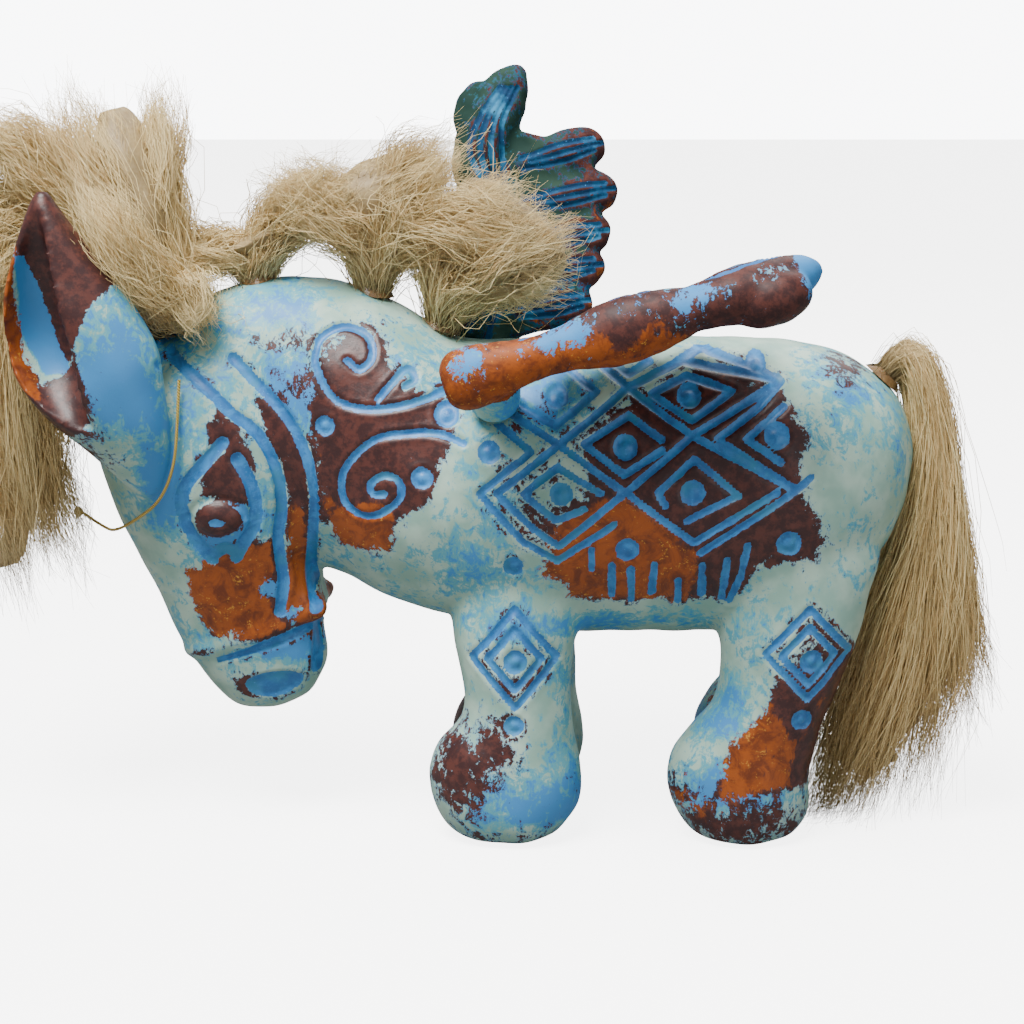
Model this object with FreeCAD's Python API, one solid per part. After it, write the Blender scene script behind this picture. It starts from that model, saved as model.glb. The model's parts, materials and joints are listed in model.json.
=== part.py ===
import FreeCAD, Part
import math
import os

# Winged pottery donkey with plug-in wings and sisal tufts.
# Millimetres, +Z up, nose towards -X, left side towards -Y.
# Shapes are laid out with X and Y from the middle of the animal and Z from the floor;
# every shape is moved at the end so the origin is the bottom centre of the whole box.

V = FreeCAD.Vector

# ---- driving dimensions ----
CLAY_WALL = 6.0
LEG_SPREAD = 22.0
RIGHT_FRONT_LEG = (4.0, 0.9)
RIGHT_REAR_LEG = (8.0, 0.86)
SOCKET_X = -5.0
SOCKET_Y = 29.5
SOCKET_Z = 130.9
SOCKET_TILT = math.radians(38.0)
SOCKET_DEPTH = 24.0
SOCKET_SLEEVE_R = 9.0
DOWEL_R = 4.5
RUNNING_GAP = 0.05
DOWEL_OUT = 12.0
WING_BOSS_R = 7.5
WING_BOSS_START = 2.2
WING_PLATE_THICK = 7.0
VENT_R = 5.0
VENT_X = 38.0
THREAD_R = 0.45
SLEEVE_END = 2.0
HEAD_FULLNESS = 0.8

# barrel stations along X: x, centre z, half height, half width
BARREL = [(-60, 106, 10, 10), (-56, 106, 21, 19), (-46, 106, 33, 30), (-30, 105.5, 39.5, 36),
          (-8, 103, 42.5, 38.6), (15, 102, 44, 39.4), (45, 102, 44.2, 39.6), (72, 102.5, 43.6, 39.6),
          (90, 104, 40, 37.6), (102, 106.5, 33, 32), (110, 108.5, 25.5, 25), (115, 110, 18, 17.5),
          (118, 111, 10, 9.5), (119, 111.5, 3, 3)]

# neck stations along X: x, centre z, half height, half width
NECK = [(-12, 106, 37, 33), (-28, 110.5, 42.5, 35), (-44, 117.2, 43.8, 31.5), (-60, 122, 42.5, 27.5),
        (-75, 129, 34.5, 23.5), (-87, 136, 24, 19.5), (-95, 141.5, 12.5, 13), (-99, 144, 5, 6)]

# head slices by height: z, centre x, half length, half width
HEAD = [(33.6, -76, 5, 5), (35.4, -75.5, 10, 9), (39, -74.6, 14.6, 12.6), (44, -75.2, 17.8, 15),
        (50, -76.2, 20.4, 16.4), (60, -79.6, 22.6, 18.2), (70, -81.6, 24.6, 20.8), (81, -85, 26.4, 23.4),
        (97, -88.4, 30, 28.6), (110, -90.6, 31.6, 30.8), (122, -92.2, 30.4, 30.6), (134, -92.2, 25.6, 27),
        (143, -91.4, 18, 20), (147.5, -91, 10, 11.5), (149, -91, 3.5, 4)]

# ear slices by height: z, centre x, centre y outward, half length, half width
EAR = [(104, -103, 26.5, 4.5, 4), (110, -105.6, 29, 7.6, 7), (117, -108.6, 31.6, 11.2, 9.6), (126, -113, 34.4, 16, 12),
       (136, -117.4, 36, 19.8, 13.4), (147, -119.8, 37, 21, 13.4), (158, -122.6, 38, 19, 12.2), (169, -125.4, 38.8, 14.2, 9.6),
       (179, -127.4, 39.4, 9, 6.8), (187, -128.6, 39.8, 4.6, 3.8), (192, -129, 40, 1.6, 1.4)]

# how far the ear is hollowed at each height, from 0 to 1
EAR_CUP = {126: 0.05, 136: 0.62, 147: 1.0, 158: 1.0, 169: 0.85, 179: 0.5, 187: 0.1}

# front leg slices by height: z, centre x, half length, half width, y shift outward
FRONT_LEG = [(0, -2, 12, 11.4, 0), (2.4, -2, 16.6, 14.6, 0), (8, -1.6, 21, 16.6, 0), (17.6, -2, 23, 17.2, 0),
             (27, -1.8, 21.4, 16.2, 0), (37, 1.6, 16.2, 14.4, 0), (47, 1.4, 16.2, 14.2, 0),
             (57, 0.6, 17.6, 14.8, -0.6), (68, 1.6, 19.2, 15.2, -2), (74, 2.2, 18.6, 15.2, -3.6),
             (80, 2.6, 17.6, 15.2, -5.4)]

# rear leg slices by height: z, centre x, half length, half width, y shift outward
REAR_LEG = [(0, 69, 12.4, 11.6, 0), (2.6, 69, 17, 15, 0), (8, 68.4, 20, 16.6, 0), (19, 67.2, 21.4, 17, 0),
            (30, 70.2, 20.4, 16, 0), (41, 76.6, 17.8, 14.8, 0), (52, 80, 18.8, 14.8, 0),
            (64, 81.8, 21, 15.6, -0.6), (78, 84.4, 21.8, 16, -2), (90, 86, 19, 15, -7)]

# wing plan in its own plane: along root-to-thumb, then along the feathers
FEATHERS = [((52, 6), (61, 39)), ((40, 6), (47, 43)), ((29, 6), (34, 41)), ((18, 6), (23.5, 39)), ((7, 6), (12.5, 35))]
THUMB = [(48, -1, 6.6, 6.4), (58, 0.5, 8.6, 7.4), (68, 4, 9, 7.6), (77, 8.6, 7.2, 6.2), (82, 12, 4.4, 4), (84, 14, 1.4, 1.4)]


# thread corners: from behind the left ear, down the cheek and round the brow to its knot
THREAD = [(-94.5, -29.4, 138), (-94.8, -33.4, 126), (-95.8, -34.6, 114), (-100.2, -33.4, 103.6), (-108, -28.2, 97.2),
          (-115.8, -17.6, 91.6), (-121.4, -3.6, 89), (-130, 6, 92)]

# mane tufts: root, lean, stalk height, then x, centre z, half height, half width along the crest
MANE = {"mane_tuft_1": ((-75, 0, 163), (-0.2, 0, 1), 5,
                        [(-97, 168.5, 1.6, 4), (-94, 169.4, 3.2, 8), (-86, 171.5, 5.4, 11), (-77, 174.4, 8.2, 13),
                         (-68, 178.4, 10.4, 14), (-61, 181.6, 10.6, 12.4), (-58, 183, 6, 7)]),
        "mane_tuft_2": ((-41, 0, 161), (0.05, 0, 1), 12,
                        [(-57.4, 184, 6, 8), (-54, 184.6, 11.4, 13.5), (-44, 187, 15.6, 16.5), (-33, 188, 15.8, 16.5),
                         (-24, 187.4, 14, 14.5), (-19.8, 186.6, 8, 9)]),
        "mane_tuft_3": ((-20.6, 0, 150.6), (0.3, 0, 1), 13,
                        [(-19.3, 184, 8, 9), (-15.6, 179.6, 17, 14), (-6, 176, 21.6, 15.4), (4, 173, 18.4, 15),
                         (13, 170.6, 12.6, 12), (19, 169, 6.4, 7), (21, 168.6, 2.2, 2.4)])}


def ellipse_wire(centre, axis_u, axis_v, half_u, half_v, fullness=1.0):
    # closed ring through sixteen points; fullness under 1 squares the oval's shoulders
    points = []
    for i in range(16):
        t = 2.0 * math.pi * i / 16.0
        c = math.copysign(abs(math.cos(t)) ** fullness, math.cos(t))
        s = math.copysign(abs(math.sin(t)) ** fullness, math.sin(t))
        points.append(centre + axis_u * (half_u * c) + axis_v * (half_v * s))
    curve = Part.BSplineCurve()
    curve.interpolate(Points=points, PeriodicFlag=True)
    return Part.Wire([curve.toShape()])


def loft(wires):
    shape = Part.makeLoft(wires, True, False)
    if shape.Volume < 0:
        shape.reverse()
    return shape


def loft_along_x(stations, shrink):
    wires = []
    for x, zc, hz, hy in stations:
        if hz - shrink > 2.0 and hy - shrink > 2.0:
            wires.append(ellipse_wire(V(x, 0, zc), V(0, 1, 0), V(0, 0, 1), hy - shrink, hz - shrink))
    return loft(wires)


def loft_along_z(slices, shrink):
    wires = []
    for z, xc, hx, hy in slices:
        if hx - shrink > 2.0 and hy - shrink > 2.0:
            wires.append(ellipse_wire(V(xc, 0, z), V(1, 0, 0), V(0, 1, 0), hx - shrink, hy - shrink, HEAD_FULLNESS))
    return loft(wires)


def unit(v):
    w = V(v.x, v.y, v.z)
    w.normalize()
    return w


def rod(points, side, half_sides, half_thicks):
    # soft rod: rings across the path, one half size along 'side' and one across it
    wires = []
    for i in range(len(points)):
        before = points[max(i - 1, 0)]
        after = points[min(i + 1, len(points) - 1)]
        along = unit(after - before)
        u = unit(side - along * side.dot(along))
        w = along.cross(u)
        wires.append(ellipse_wire(points[i], u, w, half_sides[i], half_thicks[i]))
    return loft(wires)


def socket_frame(sign):
    # entry point on the flank and the outward direction of the dowel
    entry = V(SOCKET_X, sign * SOCKET_Y, SOCKET_Z)
    outward = V(0, sign * math.cos(SOCKET_TILT), math.sin(SOCKET_TILT))
    return entry, outward


def pin(entry, outward, start, end, radius):
    return Part.makeCylinder(radius, end - start, entry + outward * start, outward)


def make_barrel(outer):
    cavity = loft_along_x(BARREL[1:-1], CLAY_WALL)
    for sign in (-1, 1):
        entry, outward = socket_frame(sign)
        cavity = cavity.cut(pin(entry, outward, -SOCKET_DEPTH - SLEEVE_END, 10, SOCKET_SLEEVE_R))
    shell = outer.cut(cavity)
    for sign in (-1, 1):
        entry, outward = socket_frame(sign)
        shell = shell.cut(pin(entry, outward, -SOCKET_DEPTH, 20, DOWEL_R + RUNNING_GAP))
    vent = Part.makeCylinder(VENT_R, 30, V(VENT_X, 0, 50), V(0, 0, 1))
    return shell.cut(vent)


def make_leg(slices, sign, stance, slimness):
    # stance moves the leg towards the tail, fully below the knee and less above it
    wires = []
    for z, xc, hx, hy, shift in slices:
        back = stance * min(1.0, (95.0 - z) / 40.0)
        centre = V(xc + back, sign * (LEG_SPREAD + shift), z)
        wires.append(ellipse_wire(centre, V(1, 0, 0), V(0, 1, 0), hx * slimness, hy))
    return loft(wires)


def make_ear(sign, lean):
    outer = []
    inner = []
    for z, xc, yc, hx, hy in EAR:
        forward = lean * max(z - 112.0, 0.0) / 80.0
        centre = V(xc - forward, sign * yc, z)
        outer.append(ellipse_wire(centre, V(1, 0, 0), V(0, 1, 0), hx, hy))
        if 120 < z < 190:
            depth = EAR_CUP[z]
            deep = hy * (0.8 - 1.2 * depth)
            shallow = hy * 1.25
            mouth = centre + V(-0.46 * hx, sign * (deep + shallow) / 2.0, 0)
            half = 0.52 * hx * (0.6 + 0.4 * depth)
            inner.append(ellipse_wire(mouth, V(1, 0, 0), V(0, 1, 0), half, (shallow - deep) / 2.0))
    return loft(outer).cut(loft(inner))


def dome(centre, radii, axis_x, axis_z):
    # egg solid as a loft of rings along its own third axis
    wires = []
    axis_y = axis_z.cross(axis_x)
    for i in range(9):
        t = math.radians(-84 + 21 * i)
        ring = centre + axis_z * (radii[2] * math.sin(t))
        wires.append(ellipse_wire(ring, axis_x, axis_y, radii[0] * math.cos(t), radii[1] * math.cos(t)))
    return loft(wires)


def make_wing(origin, along, finger, sign, root, heft):
    normal = unit(along.cross(finger))

    def place(a, f):
        return origin + along * a + finger * f

    outline = [(root, -5), (root, 10), (5, 28), (14, 33), (36, 36), (52, 36), (60, 28), (64, 14), (62, 0), (54, -5)]
    corners = [place(a, f) - normal * (WING_PLATE_THICK / 2.0) for a, f in outline]
    plate = Part.Face(Part.makePolygon(corners + [corners[0]])).extrude(normal * WING_PLATE_THICK)
    parts = []
    for base, tip in FEATHERS:
        path = []
        sides = []
        thicks = []
        for t, s, h in ((0, 5.2, 3.4), (0.35, 6.2, 4.6), (0.65, 7.2, 5.2), (0.86, 6.4, 4.6), (0.95, 4.4, 3.2), (1.0, 1.4, 1.2)):
            path.append(place(base[0] + (tip[0] - base[0]) * t, base[1] + (tip[1] - base[1]) * t))
            sides.append(s)
            thicks.append(h)
        parts.append(rod(path, along, sides, thicks))
    edge = [place(root - 2, -1), place(root, -1), place(root + 8, -1.4), place(22, -2), place(40, -2), place(54, -1)]
    thicks = [h * heft for h in (3.6, 5.6, 6.6, 6.4, 6.2, 5)]
    parts.append(rod(edge, finger, [4, 6, 7, 6.6, 6.4, 5], thicks))
    tip_path = [place(a, f) for a, f, s, h in THUMB]
    parts.append(rod(tip_path, finger, [s for a, f, s, h in THUMB], [h for a, f, s, h in THUMB]))
    knuckle = place(69, 0.5) + normal * (sign * 3.6)
    parts.append(dome(knuckle, (11.5, 8.4, 7.6), along, normal))
    entry, outward = socket_frame(sign)
    parts.append(pin(entry, outward, WING_BOSS_START, DOWEL_OUT + 3.0, WING_BOSS_R))
    wing = plate.multiFuse(parts)
    return wing.cut(pin(entry, outward, -5, DOWEL_OUT + 0.1, DOWEL_R + RUNNING_GAP))


def make_dowel(sign):
    entry, outward = socket_frame(sign)
    return pin(entry, outward, -SOCKET_DEPTH + 0.5, DOWEL_OUT, DOWEL_R)


def make_tuft(points, sides, thicks):
    return rod([V(*p) for p in points], V(0, 1, 0), sides, thicks)


def make_cloud(root, lean, height, stations):
    # bushy tuft: a bound stalk in its hole and a loose mass along the crest
    mass = loft([ellipse_wire(V(x, 0, z), V(0, 1, 0), V(0, 0, 1), hy, hz) for x, z, hz, hy in stations])
    stalk = Part.makeCone(3.4, 5.0, height + 5.0, root - lean * 5.0, lean)
    return mass.fuse(stalk)


def make_thread(points):
    # plain tube of straight runs joined by tangent arcs
    corners = [V(*p) for p in points]
    edges = []
    start = corners[0]
    for i in range(1, len(corners) - 1):
        back = corners[i - 1] - corners[i]
        ahead = corners[i + 1] - corners[i]
        turn = math.pi - back.getAngle(ahead)
        radius = 0.45 * min(back.Length, ahead.Length) / math.tan(turn / 2.0)
        reach = radius * math.tan(turn / 2.0)
        first = corners[i] + unit(back) * reach
        last = corners[i] + unit(ahead) * reach
        middle_way = unit(unit(back) + unit(ahead))
        middle = corners[i] + middle_way * (radius / math.cos(turn / 2.0) - radius)
        edges.append(Part.makeLine(start, first))
        edges.append(Part.Arc(first, middle, last).toShape())
        start = last
        print("thread bend", i, "radius", round(radius, 2), "turn", round(math.degrees(turn), 1))
    edges.append(Part.makeLine(start, corners[-1]))
    path = Part.Wire(edges)
    ring = Part.Wire([Part.makeCircle(THREAD_R, corners[0], corners[1] - corners[0])])
    tube = path.makePipeShell([ring], True, False)
    expected = path.Length * math.pi * THREAD_R ** 2
    print("thread volume", round(tube.Volume, 3), "expected", round(expected, 3), "length", round(path.Length, 2))
    return tube


def glue_ring(centre, direction, radius, neighbours):
    ring = Part.makeCone(radius, radius * 0.62, 4.6, centre - direction * 2.6, direction)
    for other in neighbours:
        ring = ring.cut(other)
    return ring


def largest(shape):
    solids = sorted(shape.Solids, key=lambda s: s.Volume)
    return solids[-1]


def build():
    nodes = {}
    barrel_outer = loft_along_x(BARREL, 0)
    neck_outer = loft_along_x(NECK, 0)
    head_outer = loft_along_z(HEAD, 0)
    nodes["barrel"] = make_barrel(barrel_outer)
    neck = neck_outer.cut(loft_along_x(NECK[1:-1], CLAY_WALL))
    nodes["neck"] = largest(neck.cut(barrel_outer).cut(head_outer))
    head = head_outer.cut(loft_along_z(HEAD[2:-2], CLAY_WALL))
    nodes["head"] = largest(head.cut(barrel_outer))
    for name, sign in (("left", -1), ("right", 1)):
        front = make_leg(FRONT_LEG, sign, *(RIGHT_FRONT_LEG if sign > 0 else (0.0, 1.0)))
        rear = make_leg(REAR_LEG, sign, *(RIGHT_REAR_LEG if sign > 0 else (0.0, 1.0)))
        nodes[name + "_front_leg"] = largest(front.cut(barrel_outer).cut(neck_outer))
        nodes[name + "_rear_leg"] = largest(rear.cut(barrel_outer))
        ear = make_ear(sign, 0 if sign < 0 else 12)
        nodes[name + "_ear"] = largest(ear.cut(head_outer).cut(neck_outer))
        eye = dome(V(-84.6, sign * 27.6, 98.2), (7.2, 6.0, 4.2), V(1, 0, 0), V(0, sign, 0))
        nodes[name + "_eye"] = largest(eye.cut(head_outer))
        knob = dome(V(-59.4, sign * 12, 67), (4.6, 4.6, 4.0), V(1, 0, 0), V(0, 0, 1))
        nodes[name + "_jaw_knob"] = largest(knob.cut(head_outer).cut(barrel_outer).cut(neck_outer))
        nodes[name + "_wing_dowel"] = make_dowel(sign)
    near_along = unit(V(0.953, -0.03, 0.302))
    near_finger = V(0, 0.992, -0.11)
    near_finger = unit(near_finger - near_along * near_finger.dot(near_along))
    nodes["left_wing"] = make_wing(V(2.5, -59.5, 147.5), near_along, near_finger, -1, -20, 1.3)
    far_along = unit(V(0.0, 0.2, 0.98))
    nodes["right_wing"] = make_wing(V(-10.3, 33.6, 141), far_along, V(1, 0, 0), 1, 0, 1.0)

    solids = (neck_outer, head_outer, barrel_outer)
    tufts = {}
    tufts["poll_tuft"] = ([(-97, 0, 144), (-98, 0, 156), (-103, -4, 172), (-108, -6, 190), (-113, -5, 206), (-117, -4, 217)],
                          [3.4, 7, 18, 20, 16, 7], [3.4, 6, 12, 14, 12, 6])
    tufts["forelock_tuft"] = ([(-107, 0, 140), (-114, 0, 150), (-130, 0, 170), (-146, 0, 176), (-154, 0, 158),
                               (-154, 0, 130), (-150, 0, 104), (-147, 0, 84)],
                              [3.4, 6, 15, 18, 19, 18, 15, 7], [3.4, 5, 8, 10, 11, 12, 11, 6])
    tufts["tail_tuft"] = ([(107, 0, 131), (114, 0, 136.6), (121, 0, 134), (125, 0, 124), (126.5, 0, 108), (125.4, 0, 92),
                           (122, 0, 72), (119, 0, 46), (113, 0, 22), (109, 0, 7)],
                          [3.4, 5, 8, 10, 12, 14, 18, 23, 24, 17], [3.4, 4.4, 5, 5.4, 6, 7.6, 12, 19, 18, 12])
    masses = {name: make_tuft(*entry) for name, entry in tufts.items()}
    for name, (root, lean, height, stations) in MANE.items():
        masses[name] = make_cloud(V(*root), unit(V(*lean)), height, stations)
    for name, body in masses.items():
        for other in solids:
            body = body.cut(other)
        for sign in ("left", "right"):
            body = body.cut(nodes[sign + "_ear"])
            body = body.cut(nodes[sign + "_rear_leg"])
        nodes[name] = largest(body)
    for name in ("forelock_tuft", "mane_tuft_1"):
        nodes[name] = largest(nodes[name].cut(tuft_copy(tufts["poll_tuft"])))

    roots = {"poll_glue": (V(-97.2, 0, 152.2), V(-0.5, 0, 1), 9.5, "poll_tuft"),
             "mane_glue_1": (V(-75, 0, 163.6), V(-0.25, 0, 1), 6.6, "mane_tuft_1"),
             "mane_glue_2": (V(-41, 0, 161.4), V(0.1, 0, 1), 6.6, "mane_tuft_2"),
             "mane_glue_3": (V(-20.6, 0, 151.4), V(0.3, 0, 1), 6.2, "mane_tuft_3"),
             "tail_glue": (V(109.8, 0, 134.0), V(0.72, 0, 0.7), 7.4, "tail_tuft")}
    for name, (centre, direction, radius, tuft) in roots.items():
        ring = glue_ring(centre, unit(direction), radius, solids + (nodes[tuft],))
        nodes[name] = largest(ring)

    nodes["tag_thread"] = make_thread(THREAD)
    nodes["thread_knot"] = dome(V(*THREAD[-1]) + V(-1.2, 0, 0.2), (1.5, 1.5, 1.5), V(1, 0, 0), V(0, 0, 1))
    nodes["thread_knot"] = nodes["thread_knot"].cut(nodes["tag_thread"])
    return nodes


def tuft_copy(entry):
    points, sides, thicks = entry
    return make_tuft(points, [s + 0.4 for s in sides], [t + 0.4 for t in thicks])


def main():
    nodes = build()
    whole = Part.makeCompound(list(nodes.values()))
    box = whole.optimalBoundingBox(False)
    shift = V(-(box.XMin + box.XMax) / 2.0, -(box.YMin + box.YMax) / 2.0, -box.ZMin)
    print("box", [round(c, 2) for c in (box.XMin, box.XMax, box.YMin, box.YMax, box.ZMin, box.ZMax)], "shift", shift)
    os.makedirs("parts", exist_ok=True)
    for name, shape in nodes.items():
        shape = shape.copy()
        shape.translate(shift)
        print(name, shape.ShapeType, shape.isValid(), len(shape.Solids), round(shape.Volume, 1))
        shape.exportStep("parts/" + name + ".step")


main()
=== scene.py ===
import json
import math
import bmesh
import bpy
import numpy as np
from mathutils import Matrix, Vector

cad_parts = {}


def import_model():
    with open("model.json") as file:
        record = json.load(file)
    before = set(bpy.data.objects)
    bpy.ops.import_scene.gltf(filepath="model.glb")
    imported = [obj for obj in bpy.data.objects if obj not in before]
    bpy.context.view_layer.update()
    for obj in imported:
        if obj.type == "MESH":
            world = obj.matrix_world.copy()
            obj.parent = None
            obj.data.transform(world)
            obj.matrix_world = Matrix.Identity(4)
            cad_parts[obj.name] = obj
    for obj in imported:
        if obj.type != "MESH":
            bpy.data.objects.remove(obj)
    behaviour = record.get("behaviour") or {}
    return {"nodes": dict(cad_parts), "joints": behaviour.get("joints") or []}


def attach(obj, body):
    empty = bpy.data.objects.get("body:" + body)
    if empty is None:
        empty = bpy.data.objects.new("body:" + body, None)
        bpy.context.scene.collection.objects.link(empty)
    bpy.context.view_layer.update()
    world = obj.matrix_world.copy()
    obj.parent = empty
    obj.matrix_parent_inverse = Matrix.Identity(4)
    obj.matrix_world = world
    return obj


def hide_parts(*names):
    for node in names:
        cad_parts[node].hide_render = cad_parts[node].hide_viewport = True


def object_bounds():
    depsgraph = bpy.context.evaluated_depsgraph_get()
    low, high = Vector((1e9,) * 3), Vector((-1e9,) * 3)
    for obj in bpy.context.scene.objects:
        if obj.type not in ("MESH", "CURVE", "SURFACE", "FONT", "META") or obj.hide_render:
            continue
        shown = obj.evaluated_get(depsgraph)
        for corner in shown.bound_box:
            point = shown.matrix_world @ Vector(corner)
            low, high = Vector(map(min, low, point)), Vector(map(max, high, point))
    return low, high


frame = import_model()
CAD_LO, CAD_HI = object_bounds()
MM = 0.001
BODY_VOXEL = 0.0009
WING_VOXEL = 0.0007
CORE_VOXEL = 0.0016
FAR_AWAY = 99.0

# the animal's own middle: halfway between the two wing sockets, and a little behind them
JOINTS = {j["name"]: j for j in frame["joints"]}
SOCKET_X = -5.0
MID = (Vector(JOINTS["left_wing_turn"]["pos_m"]) + Vector(JOINTS["right_wing_turn"]["pos_m"])) / 2
ORIGIN = np.array([MID.x / MM - SOCKET_X, MID.y / MM, 0.0])


def world(p):
    # millimetres from the animal's middle, floor at 0, to metres in the row frame
    return (np.asarray(p, float) + ORIGIN) * MM


def link(obj):
    bpy.context.scene.collection.objects.link(obj)
    return obj


# ---------------------------------------------------------------- camera, cord, light, floor
AIM_HEIGHT = 93.4
AIM = Vector(world((0, 0, AIM_HEIGHT)))
VIEW_DISTANCE = 0.700
LENS = 82.0
VIEW_RISE = math.radians(12.0)
BACK = Vector((0, -math.cos(VIEW_RISE), math.sin(VIEW_RISE)))
cam_data = bpy.data.cameras.new("studio_camera")
cam_data.lens = LENS
cam_data.sensor_width = 36.0
cam_data.clip_start = 0.02
cam_data.clip_end = 50.0
camera = link(bpy.data.objects.new("studio_camera", cam_data))
camera.location = AIM + BACK * VIEW_DISTANCE
camera.rotation_mode = "QUATERNION"
camera.rotation_quaternion = (-BACK).to_track_quat("-Z", "Y")
bpy.context.scene.camera = camera

# the tag thread's route, as the part lays it: mm from the animal's middle
THREAD = [(-94.5, -29.4, 138), (-94.8, -33.4, 126), (-95.8, -34.6, 114), (-100.2, -33.4, 103.6),
          (-108, -28.2, 97.2), (-115.8, -17.6, 91.6), (-121.4, -3.6, 89), (-130, 6, 92)]
THREAD_R = 0.45


def route_curve(name, points, radius):
    curve = bpy.data.curves.new(name, "CURVE")
    curve.dimensions = "3D"
    spline = curve.splines.new("NURBS")
    spline.points.add(len(points) - 1)
    for point, p in zip(spline.points, points):
        point.co = (*world(p), 1.0)
    spline.order_u = 3
    spline.use_endpoint_u = True
    curve.resolution_u = 16
    curve.bevel_depth = radius
    curve.bevel_resolution = 3
    return link(bpy.data.objects.new(name, curve))


def add_area(name, place, size, power, colour):
    light = bpy.data.lights.new(name, "AREA")
    light.shape = "DISK"
    light.size = size
    light.energy = power
    light.color = colour
    obj = link(bpy.data.objects.new(name, light))
    obj.location = AIM + Vector(place)
    obj.rotation_mode = "QUATERNION"
    obj.rotation_quaternion = Vector(place).to_track_quat("Z", "Y")
    return obj


add_area("key_light", (-0.3, -0.42, 1.0), 0.62, 29.0, (1.0, 0.985, 0.96))
add_area("fill_light", (0.75, -0.8, 0.3), 0.8, 2.2, (0.95, 0.98, 1.0))
add_area("back_light", (0.35, 0.8, 0.9), 0.8, 7.0, (1.0, 1.0, 1.0))
ROOM_LIGHT = 0.34
BACKDROP_GLOW = 9.0
FLOOR_GLOW = 5.0
world_data = bpy.data.worlds.new("studio_world")
bpy.context.scene.world = world_data
world_data.use_nodes = True
# soft room light for the object, a plain white backdrop for the camera
background = world_data.node_tree.nodes["Background"]
background.inputs["Color"].default_value = (0.97, 0.98, 1.0, 1)
ray_kind = world_data.node_tree.nodes.new("ShaderNodeLightPath")
strength = world_data.node_tree.nodes.new("ShaderNodeMapRange")
world_data.node_tree.links.new(ray_kind.outputs["Is Camera Ray"], strength.inputs["Value"])
strength.inputs["To Min"].default_value = ROOM_LIGHT
strength.inputs["To Max"].default_value = BACKDROP_GLOW
world_data.node_tree.links.new(strength.outputs[0], background.inputs["Strength"])


# ---------------------------------------------------------------- small shader language
class Shader:
    def __init__(self, name):
        self.material = bpy.data.materials.new(name)
        self.material.use_nodes = True
        self.tree = self.material.node_tree
        self.tree.nodes.clear()
        self.out = self.tree.nodes.new("ShaderNodeOutputMaterial")
        self.bsdf = self.tree.nodes.new("ShaderNodeBsdfPrincipled")
        self.tree.links.new(self.bsdf.outputs[0], self.out.inputs["Surface"])
        self.place = self.tree.nodes.new("ShaderNodeTexCoord").outputs["Object"]

    def put(self, socket, value):
        if isinstance(value, bpy.types.NodeSocket):
            self.tree.links.new(value, socket)
        elif isinstance(value, (tuple, list)) and len(value) == 3 and socket.type == "RGBA":
            socket.default_value = (*value, 1.0)
        else:
            socket.default_value = value

    def math(self, op, a, b=0.0, clamp=False):
        node = self.tree.nodes.new("ShaderNodeMath")
        node.operation = op
        node.use_clamp = clamp
        self.put(node.inputs[0], a)
        self.put(node.inputs[1], b)
        return node.outputs[0]

    def attr(self, name):
        node = self.tree.nodes.new("ShaderNodeAttribute")
        node.attribute_name = name
        return node.outputs["Fac"]

    def stretch(self, scale, turn=(0, 0, 0)):
        node = self.tree.nodes.new("ShaderNodeMapping")
        self.put(node.inputs["Vector"], self.place)
        node.inputs["Scale"].default_value = scale
        node.inputs["Rotation"].default_value = turn
        return node.outputs[0]

    def noise(self, scale, detail=3.0, rough=0.55, distort=0.0, place=None):
        node = self.tree.nodes.new("ShaderNodeTexNoise")
        self.put(node.inputs["Vector"], place or self.place)
        node.inputs["Scale"].default_value = scale
        node.inputs["Detail"].default_value = detail
        node.inputs["Roughness"].default_value = rough
        node.inputs["Distortion"].default_value = distort
        return node.outputs["Fac"]

    def step(self, value, low, high):
        node = self.tree.nodes.new("ShaderNodeMapRange")
        node.interpolation_type = "SMOOTHSTEP"
        self.put(node.inputs["Value"], value)
        node.inputs["From Min"].default_value = low
        node.inputs["From Max"].default_value = high
        return node.outputs[0]

    def mix(self, amount, a, b):
        node = self.tree.nodes.new("ShaderNodeMix")
        node.data_type = "RGBA"
        self.put(node.inputs[0], amount)
        self.put(node.inputs[6], a)
        self.put(node.inputs[7], b)
        return node.outputs[2]

    def bump(self, height, strength, distance):
        node = self.tree.nodes.new("ShaderNodeBump")
        self.put(node.inputs["Height"], height)
        node.inputs["Strength"].default_value = strength
        node.inputs["Distance"].default_value = distance
        self.tree.links.new(node.outputs[0], self.bsdf.inputs["Normal"])

    def finish(self, colour, rough, **fixed):
        self.put(self.bsdf.inputs["Base Color"], colour)
        self.put(self.bsdf.inputs["Roughness"], rough)
        for name, value in fixed.items():
            self.bsdf.inputs[name.replace("_", " ")].default_value = value
        return self.material


def rgb(code):
    # sRGB hex to linear
    parts = [int(code[i:i + 2], 16) / 255 for i in (0, 2, 4)]
    return tuple(c / 12.92 if c <= 0.04045 else ((c + 0.055) / 1.055) ** 2.4 for c in parts)


MINT = rgb("AECBBB")
SAGE = rgb("8DB4A6")
TURQUOISE = rgb("5FA8B8")
SKY = rgb("3F8CCB")
DEEP_BLUE = rgb("2E6FAE")
BRIGHT_BLUE = rgb("4FA0E0")
BROWN = rgb("3A2222")
RED_BROWN = rgb("57302A")
ORANGE = rgb("9C4E18")
OCHRE = rgb("C98A34")


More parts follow.
